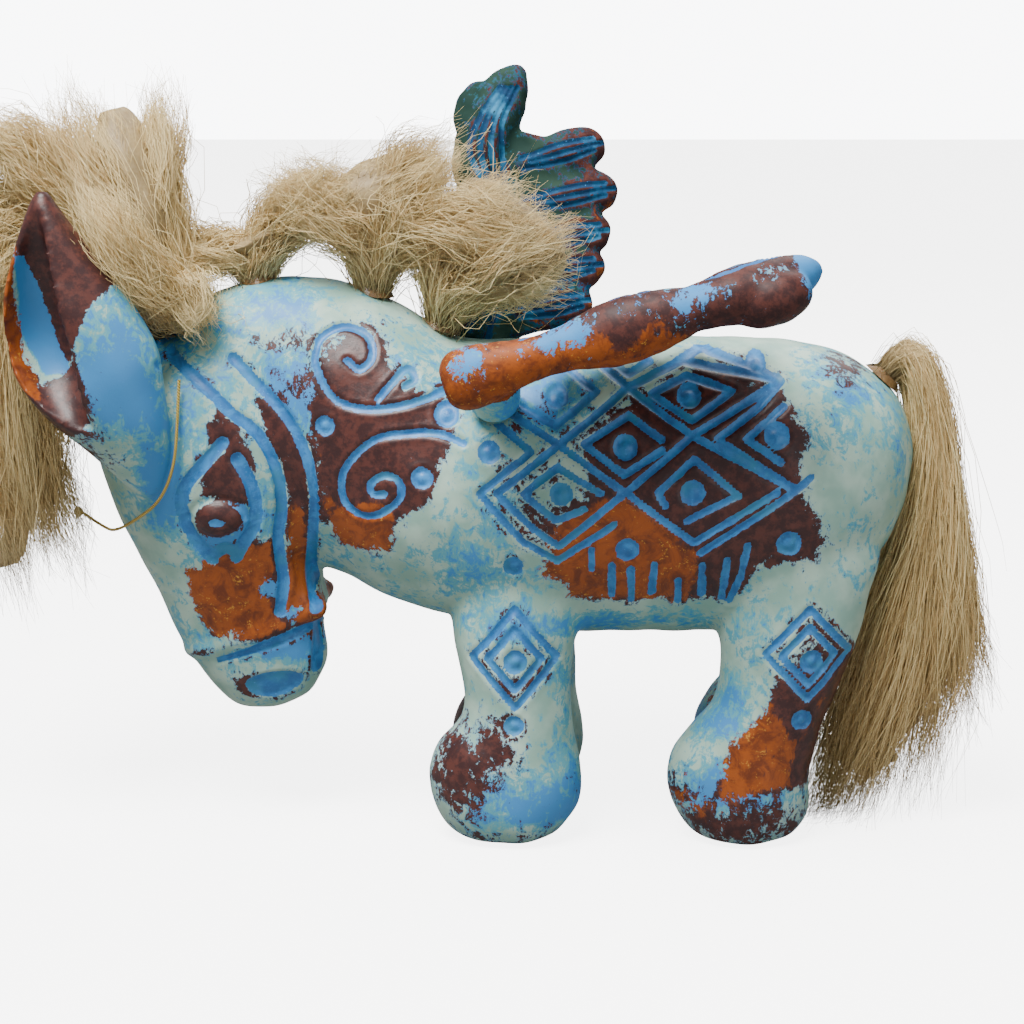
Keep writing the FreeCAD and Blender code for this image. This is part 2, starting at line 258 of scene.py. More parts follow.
def painted_clay(name, ground, second, streak_amount, dark_bias, groove_colour, washes=(TURQUOISE, SKY),
                 deep=DEEP_BLUE,
                 gloss=0.42, matte=0.0):
    """Scraped layers: a pale ground over brown and burnt orange, with blue in the carved lines."""
    s = Shader(name)
    worn = s.attr("worn")
    rust = s.attr("rust")
    groove = s.attr("groove")
    edge = s.attr("edge")
    broad = s.noise(42, 4, 0.6, 0.4)
    ragged = s.noise(230, 6, 0.72, 0.8)
    scratch = s.noise(420, 5, 0.75, 1.2, s.stretch((1.0, 1.0, 0.42), (0.2, 0.5, 0.1)))
    speck = s.noise(1500, 3, 0.6)
    # pale ground with turquoise scrubbed through it
    scrub = s.math("ADD", s.math("MULTIPLY", broad, 0.9), s.math("MULTIPLY", ragged, 0.9))
    scrub = s.math("ADD", scrub, s.math("MULTIPLY", scratch, 0.55))
    scrub = s.math("ADD", scrub, s.attr("blue"))
    base = s.mix(s.step(s.noise(90, 3), 0.35, 0.65), ground, second)
    base = s.mix(s.step(scrub, 1.29 - streak_amount, 1.38 - streak_amount), base, washes[0])
    base = s.mix(s.step(scrub, 1.42 - streak_amount, 1.5 - streak_amount), base, washes[1])
    # worn-through patches with ragged, scratchy edges
    wear = s.math("ADD", s.math("MULTIPLY", ragged, 1.7), s.math("MULTIPLY", scratch, 1.2))
    wear = s.math("ADD", wear, s.math("MULTIPLY", broad, 0.7))
    wear = s.math("ADD", wear, s.math("MULTIPLY", speck, 0.5))
    wear = s.math("ADD", wear, s.math("ADD", worn, s.math("MULTIPLY", edge, 0.3)))
    through = s.step(wear, 2.56 - dark_bias, 2.62 - dark_bias)
    halo = s.step(wear, 2.46 - dark_bias, 2.54 - dark_bias)
    orange_mask = s.math("ADD", s.math("MULTIPLY", s.noise(120, 4, 0.6, 0.5), 1.0), rust)
    orange_mask = s.math("ADD", orange_mask, s.math("MULTIPLY", scratch, 0.7))
    orange_mask = s.math("SUBTRACT", orange_mask, 0.17)
    under = s.mix(s.step(s.noise(300, 4, 0.7), 0.42, 0.62), BROWN, RED_BROWN)
    burnt = s.mix(s.step(s.noise(170, 5, 0.7, 0.6), 0.36, 0.6), rgb("6B3216"), ORANGE)
    under = s.mix(s.step(orange_mask, 0.9, 1.06), under, burnt)
    fleck = s.math("ADD", s.math("MULTIPLY", speck, 0.5), s.math("MULTIPLY", ragged, 0.7))
    under = s.mix(s.math("MULTIPLY", s.step(fleck, 0.68, 0.76), s.step(orange_mask, 0.95, 1.1)), under, OCHRE)
    colour = s.mix(s.math("MULTIPLY", halo, 0.5), base, washes[1])
    colour = s.mix(through, colour, under)
    # blue slip left in the carved lines, patchy at their edges
    line = s.math("ADD", groove, s.math("MULTIPLY", s.math("SUBTRACT", ragged, 0.5), 1.0))
    line = s.math("ADD", line, s.math("MULTIPLY", s.math("SUBTRACT", scratch, 0.5), 0.8))
    line_colour = s.mix(s.step(s.noise(190, 5, 0.7, 0.5), 0.38, 0.6), groove_colour, deep)
    line_colour = s.mix(s.step(s.noise(75, 4, 0.6), 0.5, 0.66), line_colour, rgb("3C86B0"))
    line_colour = s.mix(s.step(speck, 0.64, 0.74), line_colour, BRIGHT_BLUE)
    colour = s.mix(s.step(line, 0.46, 0.58), colour, line_colour)
    rough = s.math("ADD", s.math("MULTIPLY", ragged, 0.22), 0.34 + matte)
    rough = s.math("SUBTRACT", rough, s.math("MULTIPLY", through, 0.06))
    height = s.math("ADD", s.math("MULTIPLY", ragged, 0.7), s.math("MULTIPLY", speck, 0.25))
    height = s.math("SUBTRACT", height, s.math("MULTIPLY", through, 0.35))
    s.bump(height, 0.35, 0.00035)
    return s.finish(colour, rough, Specular_IOR_Level=gloss)


def sisal_material(name, lit, shade):
    s = Shader(name)
    tone = s.attr("tone")
    along = s.attr("along")
    colour = s.mix(tone, shade, lit)
    colour = s.mix(s.step(along, 0.0, 0.28), s.mix(tone, rgb("6E5228"), rgb("9A7A44")), colour)
    colour = s.mix(s.math("MULTIPLY", s.noise(900, 2), 0.35), colour, rgb("F0E2BC"))
    rough = s.math("ADD", s.math("MULTIPLY", tone, 0.15), 0.5)
    return s.finish(colour, rough, Specular_IOR_Level=0.35)


# ---------------------------------------------------------------- mesh helpers
def attach_attribute(mesh, name, values):
    data = mesh.attributes.new(name, "FLOAT", "POINT")
    data.data.foreach_set("value", np.ascontiguousarray(values, np.float32))


def remeshed(name, nodes, voxel):
    """One voxel skin round one or more CAD members, whose shared faces it swallows."""
    bm = bmesh.new()
    for node in nodes:
        bm.from_mesh(frame["nodes"][node].data)
    bmesh.ops.remove_doubles(bm, verts=bm.verts, dist=1e-6)
    mesh = bpy.data.meshes.new(name)
    bm.to_mesh(mesh)
    bm.free()
    obj = link(bpy.data.objects.new(name, mesh))
    mod = obj.modifiers.new("skin", "REMESH")
    mod.mode = "VOXEL"
    mod.voxel_size = voxel
    depsgraph = bpy.context.evaluated_depsgraph_get()
    skin = bpy.data.meshes.new_from_object(obj.evaluated_get(depsgraph))
    obj.modifiers.clear()
    obj.data = skin
    skin.name = name + "_skin"
    return obj


def coords(mesh):
    co = np.empty(len(mesh.vertices) * 3, np.float32)
    mesh.vertices.foreach_get("co", co)
    return co.reshape(-1, 3).astype(float)


def normals(mesh):
    no = np.empty(len(mesh.vertices) * 3, np.float32)
    mesh.vertices.foreach_get("normal", no)
    return no.reshape(-1, 3).astype(float)


def set_coords(mesh, co):
    mesh.vertices.foreach_set("co", np.ascontiguousarray(co, np.float32).ravel())
    mesh.update()


def smoothed(co, mesh, rounds, weight=1.0):
    """Laplacian rounds; weight is one number or one per vertex."""
    edges = np.empty(len(mesh.edges) * 2, np.int32)
    mesh.edges.foreach_get("vertices", edges)
    a, b = edges.reshape(-1, 2).T
    count = len(co)
    degree = np.bincount(a, minlength=count) + np.bincount(b, minlength=count)
    w = np.broadcast_to(np.asarray(weight, float), (count,))[:, None] * 0.6
    for _ in range(rounds):
        total = np.empty_like(co)
        for k in range(3):
            total[:, k] = np.bincount(a, co[b, k], count) + np.bincount(b, co[a, k], count)
        co = co + w * (total / degree[:, None] - co)
    return co


def shade_smooth(mesh):
    mesh.polygons.foreach_set("use_smooth", np.ones(len(mesh.polygons), bool))


def stroke_distance(points, strokes):
    """Distance from each 2-D point to the nearest stroke, in mm, or FAR_AWAY where none is near."""
    best = np.full(len(points), FAR_AWAY)
    for line in strokes:
        line = np.asarray(line, float)
        lo = line.min(0) - 6.0
        hi = line.max(0) + 6.0
        near = np.where(((points > lo) & (points < hi)).all(1))[0]
        if len(near) == 0:
            continue
        p = points[near]
        d = best[near]
        for i in range(len(line) - 1):
            a = line[i]
            ab = line[i + 1] - a
            t = np.clip(((p - a) @ ab) / max(ab @ ab, 1e-9), 0, 1)
            d = np.minimum(d, np.hypot(*(p - a - t[:, None] * ab).T))
        best[near] = d
    return best


def diamond(x, z, half_w, half_h):
    return [(x - half_w, z), (x, z + half_h), (x + half_w, z), (x, z - half_h), (x - half_w, z)]


def spiral(x, z, radius, start, turns, inner=0.8, squash=1.0):
    t = np.linspace(0, 1, 40)
    r = radius + (inner - radius) * t
    ang = start + turns * 2 * math.pi * t
    return np.stack([x + r * np.cos(ang), z + squash * r * np.sin(ang)], 1)


def soft_line(points, steps=8):
    """Catmull-Rom line through a few named points."""
    p = [np.asarray(q, float) for q in points]
    p = [2 * p[0] - p[1]] + p + [2 * p[-1] - p[-2]]
    out = []
    for i in range(1, len(p) - 2):
        for k in range(steps):
            t = k / steps
            out.append(0.5 * ((2 * p[i]) + (p[i + 1] - p[i - 1]) * t
                              + (2 * p[i - 1] - 5 * p[i] + 4 * p[i + 1] - p[i + 2]) * t ** 2
                              + (3 * p[i] - p[i - 1] - 3 * p[i + 1] + p[i + 2]) * t ** 3))
    out.append(p[-2])
    return np.array(out)


def smoothstep(x, lo, hi):
    t = np.clip((x - lo) / (hi - lo), 0, 1)
    return t * t * (3 - 2 * t)


def blobs(points, spots):
    """Soft patches: x, z, half width, half height, strength."""
    total = np.zeros(len(points))
    for x, z, rx, rz, s in spots:
        q = ((points[:, 0] - x) / rx) ** 2 + ((points[:, 1] - z) / rz) ** 2
        total = np.maximum(total, s * np.exp(-q * 0.9))
    return total


# ---------------------------------------------------------------- carved pattern, mm from the animal's middle
GROOVE_HALF = 1.12
GROOVE_DEPTH = 0.85
EYE_X = -84.6
EYE_Z = 98.2


def flank_strokes():
    return [
        # long diagonals that fall towards the tail
        [(-2.7, 130), (13.3, 120.4), (32, 107.2), (51.6, 92.6)],
        [(-8.4, 129.4), (5.2, 118.7)],
        [(23, 143), (33, 135.3), (51, 122.9), (80.2, 108)],
        [(-4.3, 106.8), (6, 96.6), (13.2, 91.4)],
        [(-9.2, 106.8), (2.9, 92.8), (12.8, 86.9)],
        [(49.1, 142), (76.7, 137.2)],
        [(56.5, 144.4), (70, 140), (77, 137.4)],
        [(59, 121.4), (79, 108.8)],
        # long diagonals that rise towards the tail
        [(-4.3, 106.8), (13.3, 120.4), (33, 135.2), (49.1, 142.2), (57, 146)],
        [(-9.2, 106.8), (5.2, 118.3)],
        [(13.2, 91.4), (32, 107.2), (51, 122.9), (76.8, 137.2)],
        [(12.8, 86.9), (29.1, 98)],
        [(51.6, 92.6), (75, 107.4)],
        [(53.7, 89.6), (80.2, 107.6), (84.6, 111.4)],
        [(58.2, 122.1), (69.6, 130), (77, 137)],
        # one broken diamond inside each cell
        [(24.9, 107), (12.8, 114.3), (3.3, 106.8), (12.4, 99.1), (20.4, 102.4)],
        [(42.3, 121.8), (33.2, 128.3), (20.4, 120.6), (31.7, 112.2), (42.3, 118.9)],
        [(43.4, 103.6), (41.2, 107.2), (51.6, 116.6), (63.9, 106.4), (49.5, 99.1)],
        [(39.7, 133.8), (50, 138.4), (62.7, 134.4), (51, 127), (39.7, 133.8)],
        [(-0.5, 132.2), (12.4, 125.4), (24.1, 134.3), (17, 139.6)],
        [(77.4, 130.6), (66.4, 122), (76, 115.6)],
        [(26, 143.4), (33.4, 138.6), (40, 141.8)],
        # fringe below
        [(22.6, 90.3), (22.8, 84.4)], [(28.5, 85.7), (28.8, 75.8)], [(34, 84.2), (34.4, 74.2)],
        [(40.7, 85.6), (40.2, 76.5)],
        [(47.6, 80.6), (47.9, 73.5)], [(54.4, 85.6), (54.6, 75.8)], [(61.4, 87), (60.4, 75)],
        [(67, 91.6), (65.6, 82), (62.8, 73.6)],
    ]


def flank_dots():
    # stamped rings: x, z, radius
    return [(12.8, 133.2, 3.3), (50.4, 133.4, 3.5), (32.1, 119.8, 3.6), (13.9, 106.8, 3.4),
            (51.1, 107.2, 3.6), (32.8, 90.4, 3.5), (75, 122.9, 3.8), (78.8, 92.2, 3.7), (-6.5, 118.3, 3.3),
            (0.3, 85, 3.0), (70.4, 141.5, 3.0), (-25.5, 110.8, 3.2), (-18.5, 128.4, 3.6), (-53.4, 124.6, 2.9)]


def neck_strokes():
    return [
        soft_line([(-56.4, 143), (-54.6, 149), (-48, 152), (-41.4, 149.6), (-39.8, 144), (-43.4, 140.6),
                   (-47, 143)]),
        soft_line([(-56.2, 142), (-53.6, 136), (-49.4, 131.6), (-42.2, 129.8), (-33, 130.4), (-25, 132.4),
                   (-15, 136)]),
        soft_line([(-38, 132.6), (-33.6, 137.4), (-30, 140.6), (-27.6, 137.8), (-30.4, 136)]),
        soft_line([(-13.8, 120.6), (-20, 123), (-27.6, 123.4), (-38.6, 121.4), (-46, 115), (-48.8, 109),
                   (-47.8, 102.4), (-42.8, 99), (-37.2, 100.2), (-32, 104.8), (-32.2, 109.6), (-36.2, 111.2),
                   (-40.2, 108.6), (-39.8, 105.6), (-36.6, 105.8)]),
    ]


def front_leg_strokes():
    return [diamond(0.8, 57.4, 12.4, 14.6), diamond(0.8, 57.4, 7.8, 9.0)]


def rear_leg_strokes():
    return [diamond(85.6, 59, 12.6, 13.6), diamond(85.6, 58.6, 8.0, 8.6)]


def eye_strokes():
    # the leaf round the eye: two curved sides that stay open above and below
    return [
        soft_line([(-82.6, 119.9), (-88.4, 113.4), (-93.6, 107), (-94.9, 100), (-92.5, 92.5), (-87, 84.4)]),
        soft_line([(-78.5, 115), (-75.2, 108.3), (-73.8, 101), (-74.6, 95), (-77.4, 90), (-80.2, 85)]),
        soft_line([(-86.6, 86), (-83, 88), (-79.6, 86)]),
    ]


def cheek_strokes():
    return [
        soft_line([(-98, 144), (-85.5, 133.4), (-79.7, 127.9), (-73.8, 122.9), (-69.7, 116.2),
                   (-67.2, 108.3), (-66.8, 99.2), (-68, 91.3), (-67.8, 84), (-67, 76.4), (-68.4, 67)]),
        soft_line([(-80, 143), (-69.7, 132.6), (-64.4, 126.5), (-60.4, 119.2), (-58.2, 112.6),
                   (-57.2, 103.5), (-58, 93), (-59.4, 80), (-58.4, 68)]),
        soft_line([(-57.6, 61), (-58.2, 54), (-58.6, 47.6)]),
    ]


SHELL_NODES = ["barrel", "neck", "head", "left_front_leg", "left_rear_leg", "left_ear", "left_eye",
               "left_jaw_knob", "right_front_leg", "right_rear_leg", "right_ear", "right_eye",
               "right_jaw_knob"]

# worn-through patches: x, z, half width, half height, strength
WORN = [(14, 97, 12, 6, 0.5), (64, 127, 16, 9, 0.6), (84, 92, 9, 8, 0.5), (98, 140, 9, 6, 0.5),
        (0, 3, 26, 4, 0.3), (6, 99, 6, 5, 0.4), (-66, 148, 10, 4, 0.55), (-62, 138, 10, 8, 0.42),
        (-40, 150, 8, 6, 0.3), (-58.6, 66, 6, 6, 0.9), (-118, 118, 9, 8, 0.5), (-16, 24, 10, 16, 0.72),
        (-6, 31, 9, 12, 0.66), (66, 8, 20, 9, 0.66), (50, 16, 8, 10, 0.42), (-80, 44, 4, 4, 0.6),
        (90, 64, 6, 10, 0.4)]
RUSTY = [(-58.6, 66, 7, 7, 0.6), (88, 46, 10, 12, 0.14), (66, 34, 9, 12, 0.5), (54, 14, 10, 8, 0.26),
         (-137, 160, 5, 22, 0.6)]
BLUER = [(-100, 108, 6, 16, 0.5), (-92, 128, 14, 14, 0.34), (-72, 100, 8, 20, 0.3), (-70, 70, 8, 10, 0.5),
         (-108, 142, 12, 22, 0.34), (-64, 136, 10, 12, 0.34), (-70, 156, 14, 8, 0.24),
         (-40, 128, 30, 14, 0.22), (-66, 56, 14, 6, 0.3), (6, 14, 22, 9, 0.26), (64, 20, 16, 10, 0.4),
         (58, 38, 10, 14, 0.24), (10, 132, 16, 10, 0.24), (-6, 96, 8, 14, 0.14), (20, 66, 50, 5, 0.3),
         (-14, 84, 10, 14, 0.16), (96, 118, 12, 30, 0.1), (16, 40, 6, 30, 0.2), (-84, 88.5, 10, 5, 0.6),
         (-78.4, 97, 3, 9, 0.7)]
# whole fields where the top coat is gone: outline and softness
BARE = [
    ([(33, 131), (49, 137), (62, 139.5), (77, 133), (83, 122), (79, 110), (86, 100), (89, 92), (87, 86.4),
      (70, 85.4), (63, 76), (47, 74), (17, 74.4), (14, 80), (9, 82.4), (13, 90), (14, 98), (20, 105),
      (24, 114), (22, 121), (28, 126)], 3.0),
    ([(-57, 131), (-52, 146), (-44, 151), (-36, 147), (-34, 136), (-22, 131), (-17, 122), (-24, 104),
      (-33, 96), (-36, 88.5), (-50, 89), (-54, 98), (-56, 112)], 2.6),
    ([(-88, 126), (-84, 128), (-78.6, 123), (-74, 115), (-76.4, 104), (-77.6, 100.8), (-88.6, 105),
      (-87, 111), (-80, 118), (-86, 120)], 1.6),
    ([(-73.6, 131.6), (-68, 131), (-60.8, 119), (-58.6, 104), (-60, 88), (-60.4, 68), (-67, 67.6),
      (-65.2, 84), (-65, 102), (-66.4, 112)], 1.6),
    ([(-84, 88.4), (-77, 89.4), (-70.2, 90), (-69.4, 80), (-74, 74), (-70, 69.4), (-66.6, 62.6), (-76, 60),
      (-88, 59.8), (-93, 68), (-95.6, 80), (-90, 82.4), (-86, 84)], 2.0),
    ([(76, 50), (88, 58), (100, 60), (101, 52), (96, 40), (90, 28), (88, 18), (60, 17), (62, 30), (68, 36),
      (74, 41)], 2.6),
    ([(-91, 99), (-84.6, 104.4), (-78, 99), (-78, 94), (-84, 91.6), (-90, 93)], 0.9),
    ([(-144, 182), (-138.4, 178), (-138.6, 160), (-137, 146), (-132, 138), (-126, 140), (-122, 150),
      (-117, 128), (-126, 122), (-144, 146)], 1.4),
]
BARE_ORANGE = [
    ([(12, 98), (20, 104), (30, 105.4), (38, 104), (46, 95), (53, 90), (50, 74), (16, 74), (8, 82)], 5.0),
    ([(-54, 104), (-46, 100), (-38, 104), (-33, 100), (-35, 87), (-52, 88)], 3.0),
    ([(-66, 100), (-60, 98), (-59.6, 68), (-67, 66)], 3.0),
    ([(-84, 88.4), (-70, 90), (-69, 80), (-74, 74), (-66.6, 62), (-76, 59), (-88, 59), (-94, 68), (-96, 82)],
     2.0),
    ([(62, 44), (75, 44), (82, 32), (82, 19), (60, 16)], 4.0),
    ([(-144, 182), (-137.6, 178), (-137, 158), (-134, 144), (-132, 134), (-144, 140)], 1.0),
]
BARE_FADE = 1.7
EAR_HOLLOW = [(-127, 194), (-133, 188), (-137.4, 180), (-133, 169), (-130, 157), (-127.6, 149), (-125, 143),
              (-120, 153), (-115.4, 161.7), (-109, 168), (-110, 182), (-120, 193)]
EAR_BLUE = [(-136.6, 177), (-133, 169), (-130, 157), (-127.4, 148), (-124.6, 141), (-131, 140.6), (-137, 152)]


def patch(points, outline, soft):
    """1 inside a closed outline, 0 outside it, soft across the line."""
    ring_line = np.asarray(list(outline) + [outline[0]], float)
    far = stroke_distance(points, [ring_line])
    inside = np.zeros(len(points), bool)
    for (x0, z0), (x1, z1) in zip(ring_line[:-1], ring_line[1:]):
        if z0 != z1:
            crosses = (points[:, 1] > min(z0, z1)) & (points[:, 1] <= max(z0, z1))
            inside ^= crosses & (points[:, 0] < x0 + (points[:, 1] - z0) * (x1 - x0) / (z1 - z0))
    return smoothstep(np.where(inside, far, -far), -soft, soft)


def carve_body():
    obj = remeshed("painted_body", SHELL_NODES, BODY_VOXEL)
    mesh = obj.data
    co = coords(mesh)
    mm = co / MM - ORIGIN
    ears = (np.abs(mm[:, 1]) > 31.5) & (mm[:, 2] > 104) & (mm[:, 0] < -90)
    eyes = (np.abs(mm[:, 1]) > 27.6) & (np.abs(mm[:, 0] - EYE_X) < 8.5) & (np.abs(mm[:, 2] - EYE_Z) < 7.5)
    weight = np.where(ears, 0.1, np.where(eyes, 0.12, 1.0))
    co = smoothed(co, mesh, 40, weight)
    set_coords(mesh, co)
    no = normals(mesh)
    mm = co / MM - ORIGIN
    pts = mm[:, [0, 2]]
    # strokes by member, so a leg's pattern stays on the leg
    body_d = stroke_distance(pts, flank_strokes())
    body_d = np.where((mm[:, 0] > -30) & (pts[:, 1] > 68), body_d, FAR_AWAY)
    neck_d = stroke_distance(pts, neck_strokes())
    legs_d = np.minimum(stroke_distance(pts, front_leg_strokes()), stroke_distance(pts, rear_leg_strokes()))
    outer_leg = np.sign(mm[:, 1]) * no[:, 1] > 0.25
    legs_d = np.where(outer_leg & (np.abs(mm[:, 1]) > 22), legs_d, FAR_AWAY)
    d = np.minimum(body_d, neck_d)
    facing = np.sign(mm[:, 1]) * no[:, 1] > 0.2
    d = np.where(facing, d, FAR_AWAY)
    d = np.minimum(d, legs_d)
    head_side = (mm[:, 0] < -56) & (np.sign(mm[:, 1]) * no[:, 1] > 0.15)
    cheek = np.where(head_side, stroke_distance(pts, cheek_strokes()) - 0.5, FAR_AWAY)
    leaf = np.where(head_side, stroke_distance(pts, eye_strokes()) - 0.8, FAR_AWAY)
    d = np.minimum(d, np.minimum(cheek, leaf))
    # noseband: a line round the muzzle, square to the face
    band = (mm[:, 2] - 55.4) - 0.36 * (mm[:, 0] + 77) + 0.0035 * (np.abs(mm[:, 1]) - 10) ** 2
    muzzle = (mm[:, 2] < 76) & (mm[:, 0] < -52) & (mm[:, 2] > 36) & (mm[:, 0] > -88)
    d = np.minimum(d, np.where(muzzle, np.abs(band) - 0.7 * smoothstep(mm[:, 0], -84, -70), FAR_AWAY))
    roll = np.where((mm[:, 2] < 78) & (mm[:, 0] < -52), np.exp(-((band - 4.2) / 2.6) ** 2), 0)
    # stamped rings with a raised button
    dots = flank_dots() + [(0.9, 56.6, 3.6), (0.6, 37.6, 3.0), (86.4, 57, 3.4), (84.2, 39, 3.2)]
    ring_in = np.full(len(co), FAR_AWAY)
    button = np.zeros(len(co))
    side_ok = facing | outer_leg
    for x, z, r in dots:
        q = np.hypot(pts[:, 0] - x, pts[:, 1] - z)
        ok = side_ok & (q < 12)
        ring_in = np.where(ok, np.minimum(ring_in, np.maximum(q - r + GROOVE_HALF, 0)), ring_in)
        button = np.maximum(button, np.where(ok, 1 - smoothstep(q, r * 0.28, r * 0.5), 0))
    nostril_rise = mm[:, 2] - 44.6 - 0.1 * (mm[:, 0] + 71)
    nostril = np.hypot((mm[:, 0] + 71) / 1.9, nostril_rise * np.where(mm[:, 2] > 44.6, 1.25, 0.9))
    nostril = np.where((mm[:, 2] < 54) & (np.abs(mm[:, 1]) > 3) & (mm[:, 0] < -50), nostril, FAR_AWAY)
    ring_in = np.minimum(ring_in, np.maximum(nostril - 3.4, 0))
    wide = np.minimum(d, ring_in)
    groove = 1 - smoothstep(wide, GROOVE_HALF * 0.55, GROOVE_HALF * 1.45)
    depth = GROOVE_DEPTH * (1 - smoothstep(wide, 0.2, GROOVE_HALF * 1.35))
    lip = 0.16 * np.exp(-((wide - 1.9) / 0.55) ** 2)
    depth = depth * (1 - 0.75 * button)
    # hand-modelled unevenness
    wave = 0.22 * (np.sin(mm[:, 0] * 0.21 + 1.3 * np.sin(mm[:, 2] * 0.11)) * np.sin(mm[:, 2] * 0.19 + 0.8)
                   + 0.5 * np.sin(mm[:, 0] * 0.47 + mm[:, 2] * 0.31 + mm[:, 1] * 0.2))
    # eyelids: a slit pupil in the pellet and a lid line above it
    pupil = np.hypot((mm[:, 0] + 84.7) / 2.2, mm[:, 2] - 96.6)
    lid = np.abs(np.hypot((mm[:, 0] - EYE_X) / 1.25, (mm[:, 2] - 97)) - 6.6)
    on_eye = (np.abs(mm[:, 1]) > 20) & (np.abs(mm[:, 0] - EYE_X) < 12) & (np.abs(mm[:, 2] - 98) < 11)
    pupil_w = np.where(on_eye, 1 - smoothstep(pupil, 0.9, 1.6), 0)
    lid_w = np.where(on_eye & (mm[:, 2] > 97), 1 - smoothstep(lid, 0.5, 1.4), 0)
    move = -depth + lip + wave - 0.5 * pupil_w - 0.7 * lid_w + 1.2 * roll
    co = co + no * (move * MM)[:, None]
    set_coords(mesh, co)
    soft = smoothed(co, mesh, 14)
    edge = np.clip(((co - soft) * no).sum(1) / (0.25 * MM), -1, 1.5)
    worn = blobs(pts, WORN) * (np.abs(mm[:, 1]) > 3)
    for outline, soft in BARE:
        worn = np.maximum(worn, patch(pts, outline, BARE_FADE * soft))
    rust = blobs(pts, RUSTY)
    for outline, soft in BARE_ORANGE:
        rust = np.maximum(rust, 0.55 * patch(pts, outline, soft))
    blue = blobs(pts, BLUER)
    hollow, sky_patch = ear_paint(mm)
    worn = np.maximum(worn, hollow)
    rust = np.where(hollow > 0.3, rust * 0.4, rust)
    blue = np.maximum(blue, sky_patch * 0.9)
    worn = np.where(np.abs(mm[:, 1]) < 3, worn * 0.4, worn)
    attach_attribute(mesh, "groove", np.maximum(groove, pupil_w * 0.9))
    attach_attribute(mesh, "edge", np.clip(edge, 0, 1.5))
    attach_attribute(mesh, "worn", worn)
    attach_attribute(mesh, "rust", rust)
    attach_attribute(mesh, "blue", blue)
    shade_smooth(mesh)
    mesh.materials.clear()
    mesh.materials.append(BODY_PAINT)
    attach(obj, "shell")
    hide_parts(*SHELL_NODES)
    return obj


def ear_paint(mm):
    """Bare hollow and sky-blue inner wall of both ears; the right ear leans further forward."""
    hollow = np.zeros(len(mm))
    sky_patch = np.zeros(len(mm))
    for side, lean in ((-1, 0.0), (1, 12.0)):
        upright = np.stack([mm[:, 0] + lean * np.clip(mm[:, 2] - 112, 0, None) / 80, mm[:, 2]], 1)
        on = (mm[:, 1] * side > 24) & (mm[:, 2] > 112)
        hollow = np.maximum(hollow, np.where(on, patch(upright, EAR_HOLLOW, 1.6), 0))
        sky_patch = np.maximum(sky_patch, np.where(on, patch(upright, EAR_BLUE, 1.2), 0))
    return hollow, sky_patch


# ---------------------------------------------------------------- wings
WINGS = {
    "left_wing": (np.array([2.5, -59.5, 147.5]), (0.953, -0.03, 0.302), (0.0, 0.992, -0.11), 1.0),
    "right_wing": (np.array([-10.3, 33.6, 141.0]), (0.0, 0.2, 0.98), (1.0, 0.0, 0.0), -1.0),
}
FEATHERS = [((52, 6), (61, 39)), ((40, 6), (47, 43)), ((29, 6), (34, 41)), ((18, 6), (23.5, 39)),
            ((7, 6), (12.5, 35))]


def unit(v):
    v = np.asarray(v, float)
    return v / np.linalg.norm(v)


def wing_strokes():
    lines = []
    for base, tip in FEATHERS:
        b = np.array(base, float)
        t = np.array(tip, float)
        side = np.array([-(t - b)[1], (t - b)[0]]) / np.hypot(*(t - b))
        for off, start, end in ((-2.3, 0.22, 0.9), (0.4, 0.3, 0.97), (2.9, 0.22, 0.88)):
            bend = side * off
            lines.append(soft_line([b + (t - b) * start + bend * 0.6, b + (t - b) * 0.6 + bend,
                                    b + (t - b) * end + bend * 0.7]))
    # nested arcs that run out along the thumb
    for k in range(4):
        lines.append(soft_line([(40 - 3 * k, 9 + 2.2 * k), (54, 7.5 - 3.1 * k), (66, 7.4 - 2.6 * k),
                                (77, 12 - 1.8 * k)]))
    lines.append(spiral(38, 1.2, 6.4, 0.4, 1.5))
    lines.append(soft_line([(2, -3), (14, 0.4), (26, -2), (33, -3)]))
    lines.append(soft_line([(0, 3), (12, 5.4), (24, 4.2), (31, 3.6)]))
    return lines


PLUG_REACH = 13.5
PLUG_RADIUS = 8.0


def on_plug(points, node, margin=0.0):
    """Which points lie on the wing's plug end, measured along and off its dowel."""
    axis = unit(JOINTS[node + "_turn"]["axis"])
    from_socket = points - (np.array(JOINTS[node + "_turn"]["pos_m"]) / MM - ORIGIN)
    reach = from_socket @ axis
    off_axis = np.linalg.norm(from_socket - reach[:, None] * axis, axis=1)
    return (off_axis < PLUG_RADIUS + margin) & (reach < PLUG_REACH + margin)


